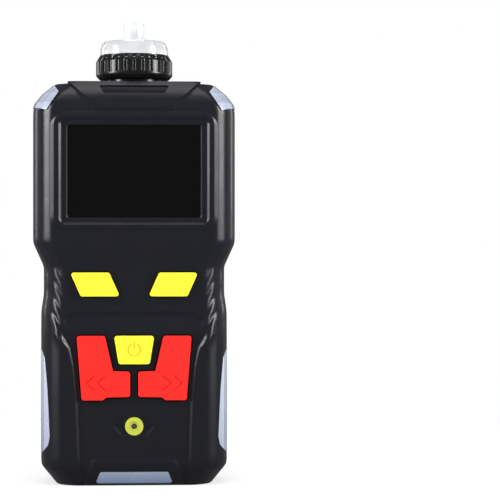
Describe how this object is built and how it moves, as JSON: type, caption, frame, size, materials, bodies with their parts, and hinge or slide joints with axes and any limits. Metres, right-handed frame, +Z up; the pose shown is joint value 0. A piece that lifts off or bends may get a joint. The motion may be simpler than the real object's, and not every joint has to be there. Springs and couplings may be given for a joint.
{
  "type": "portable gas detector",
  "caption": "Handheld pumped gas detector with a colour display, soft and arrow keys, alarm lenses, screw-on inlet filter, sprung belt clip and hinged-out battery pack.",
  "frame": {"origin": "middle of the flat base, on the plane where the front and rear covers meet", "axes": "+X to the right seen from the front, +Y towards the back with the belt clip, +Z up to the sample inlet"},
  "size_m": [0.0856, 0.0619, 0.195],
  "materials": {
    "case_plastic": "moulded, fine spark texture, satin",
    "clip_plastic": "moulded nylon, satin",
    "window": "clear hard-coated pane with dark rear print",
    "display_metal": "stamped display frame",
    "yellow_key": "smooth moulded, semi-gloss",
    "red_key": "smooth moulded, semi-gloss",
    "lens": "frosted light-pipe plastic",
    "grommet": "moulded yellow-green rubber",
    "black_rubber": "moulded, matt",
    "silicone": "silicone sheet",
    "neck_plastic": "glass-filled nylon, satin gloss",
    "clear_plastic": "clear polycarbonate",
    "membrane": "white filter membrane",
    "screw_steel": "nickel plated",
    "black_steel": "black oxide",
    "spring_steel": "drawn wire",
    "circuit": "solder mask over glass-fibre board",
    "component": "moulded component",
    "led": "lamp strip",
    "tube": "translucent silicone tube",
    "pump_plastic": "moulded",
    "sensor_can": "drawn can",
    "socket_steel": "stamped shell",
    "gold": "gold plated",
    "cell_wrap": "shrink wrap",
    "latch_plastic": "moulded, fine ribs"
  },
  "bodies": {
    "case": {"front_cover": "case_plastic", "rear_cover": "case_plastic", "case_gasket": "black_rubber", "case_screws": "black_steel", "board_screws": "black_steel", "display_window": "window", "display_gasket": "black_rubber", "display_module": "display_metal", "key_membrane": "silicone", "key_switches": "component", "main_board": "circuit", "corner_lens_left": "lens", "corner_lens_right": "lens", "side_lens_left": "lens", "side_lens_right": "lens", "base_lens": "lens", "alarm_lights": "led", "sounder_grommet": "grommet", "sounder": "component", "vibration_motor": "screw_steel", "inlet_neck": "neck_plastic", "inlet_hose": "tube", "pump": "pump_plastic", "pump_hose": "tube", "sensor_manifold": "pump_plastic", "sensor_gasket": "black_rubber", "gas_sensors": "sensor_can", "sensor_board": "circuit", "board_connector": "component", "clip_plate": "clip_plastic", "clip_pin": "screw_steel", "clip_spring": "spring_steel", "clip_screws": "screw_steel", "screw_plug_left": "black_rubber", "screw_plug_right": "black_rubber", "charging_socket": "socket_steel", "lanyard_bar": "screw_steel", "battery_contacts": "gold"},
    "soft_left": {"soft_key_left": "yellow_key"},
    "soft_right": {"soft_key_right": "yellow_key"},
    "power": {"power_key": "yellow_key"},
    "back": {"back_key": "red_key"},
    "forward": {"forward_key": "red_key"},
    "filter": {"filter_housing": "clear_plastic", "filter_disc": "membrane", "filter_ring": "black_rubber"},
    "nut": {"lock_nut": "neck_plastic"},
    "clip": {"clip_lever": "clip_plastic"},
    "pack": {"battery_cover": "case_plastic", "battery_tray": "pump_plastic", "battery": "cell_wrap", "protection_board": "circuit", "pack_contacts": "gold", "pack_screws": "black_steel", "latch_spring": "spring_steel"},
    "latch": {"battery_latch": "latch_plastic"}
  },
  "joints": [
    {"name": "soft_left_press", "type": "slide", "parent": "case", "child": "soft_left", "axis": [0, 1, 0], "range_m": [0, 0.0008], "stiffness_N_per_m": 1500},
    {"name": "soft_right_press", "type": "slide", "parent": "case", "child": "soft_right", "axis": [0, 1, 0], "range_m": [0, 0.0008], "stiffness_N_per_m": 1500},
    {"name": "power_press", "type": "slide", "parent": "case", "child": "power", "axis": [0, 1, 0], "range_m": [0, 0.0008], "stiffness_N_per_m": 1500},
    {"name": "back_press", "type": "slide", "parent": "case", "child": "back", "axis": [0, 1, 0], "range_m": [0, 0.0008], "stiffness_N_per_m": 1500},
    {"name": "forward_press", "type": "slide", "parent": "case", "child": "forward", "axis": [0, 1, 0], "range_m": [0, 0.0008], "stiffness_N_per_m": 1500},
    {"name": "filter_lift", "type": "slide", "parent": "case", "child": "filter", "axis": [0, 0, 1], "range_m": [0, 0.0045]},
    {"name": "nut_turn", "type": "hinge", "parent": "filter", "child": "nut", "pos_m": [0, 0, 0.175], "axis": [0, 0, 1], "range_deg": [0, 1080]},
    {"name": "clip_open", "type": "hinge", "parent": "case", "child": "clip", "pos_m": [0, 0.0296, 0.141], "axis": [1, 0, 0], "range_deg": [0, 15], "stiffness_Nm_per_rad": 1.2, "springref_deg": -11.46},
    {"name": "pack_tilt", "type": "hinge", "parent": "case", "child": "pack", "pos_m": [0, 0.0027, 0], "axis": [-1, 0, 0], "range_deg": [0, 20]},
    {"name": "latch_slide", "type": "slide", "parent": "pack", "child": "latch", "axis": [0, 0, -1], "range_m": [0, 0.002], "stiffness_N_per_m": 400, "springref_m": -0.001, "deforming": ["latch_spring"]}
  ],
  "couplings": [
    {"joint": "nut_turn", "follows": "filter_lift", "rad_per_m": 4188.8}
  ]
}
